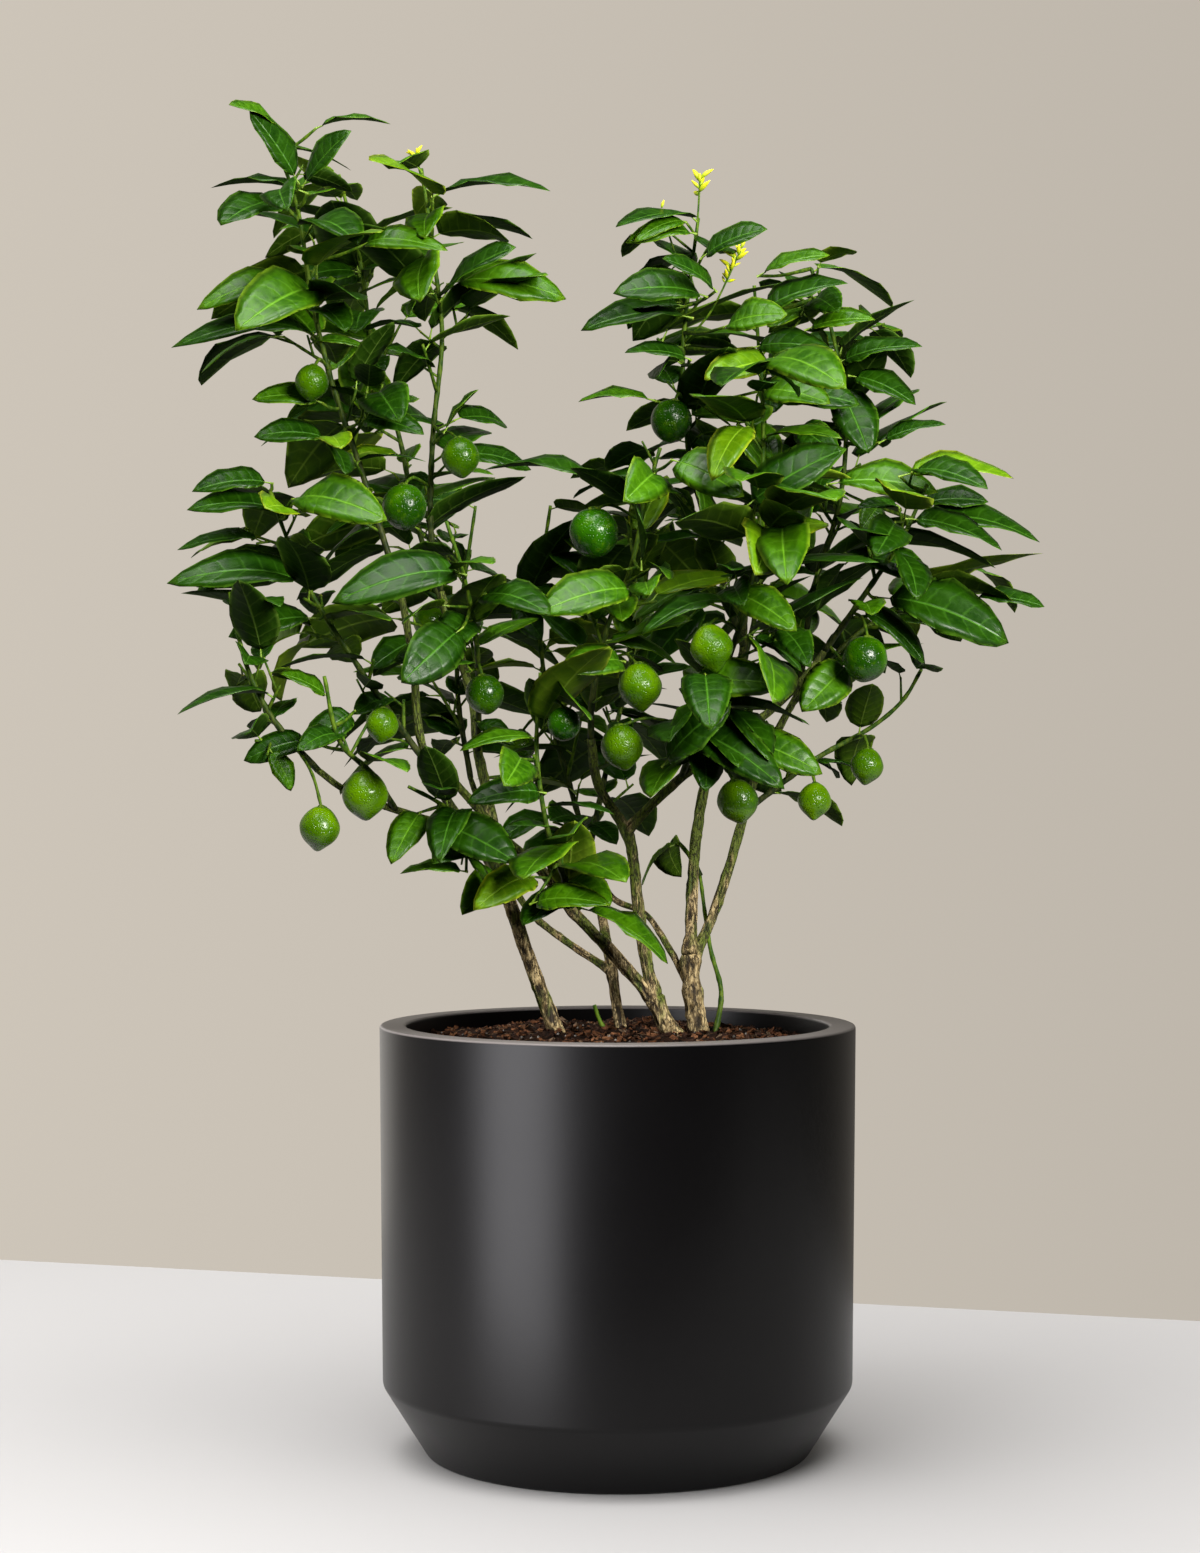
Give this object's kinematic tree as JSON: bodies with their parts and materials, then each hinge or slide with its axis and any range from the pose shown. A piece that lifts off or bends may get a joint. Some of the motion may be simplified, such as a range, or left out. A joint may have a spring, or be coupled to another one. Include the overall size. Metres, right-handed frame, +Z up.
{
  "type": "potted key lime tree",
  "caption": "Young key lime tree with several thin stems, open leafy boughs and green limes, in a round pot with a bevelled foot.",
  "frame": {"origin": "on the floor, under the middle of the pot's flat underside", "axes": "+Z up along the pot's axis; the plant's front, as pictured, faces -Y and +X is to its right"},
  "size_m": [0.5491, 0.4276, 0.8714],
  "materials": {
    "pot": "satin black",
    "soil": "rough potting mix",
    "bark": "rough bark",
    "shoot": "smooth green shoot",
    "leaf": "glossy leaf"
  },
  "bodies": {
    "root": {"pot": "pot", "soil": "soil", "stem_left": "bark", "stem_back": "bark", "stem_middle": "bark", "stem_right": "bark", "stem_shoot": "shoot", "stem_stub": "shoot", "bough_left_outer": "bark", "bough_left_inner": "bark", "bough_left_low": "bark", "bough_back_left": "bark", "bough_middle_left": "bark", "bough_middle_right": "bark", "bough_crossing": "bark", "bough_right_upright": "bark", "bough_right_outer": "bark", "bough_back_middle": "bark", "mass_left_outer_top": "leaf", "mass_left_middle_top": "leaf", "mass_left_inner_top": "leaf", "mass_left_outer_mid": "leaf", "mass_left_far_low": "leaf", "mass_left_low_front": "leaf", "mass_left_inner_mid": "leaf", "mass_left_low_mid": "leaf", "mass_left_back": "leaf", "mass_middle_low": "leaf", "mass_middle_deep": "leaf", "mass_middle_front": "leaf", "mass_middle_back": "leaf", "mass_front_right": "leaf", "mass_right_left_top": "leaf", "mass_right_outer_top": "leaf", "mass_right_outer_mid": "leaf", "mass_right_far": "leaf", "mass_right_low": "leaf", "mass_right_back": "leaf", "mass_shoot_leaves": "leaf"}
  },
  "joints": []
}
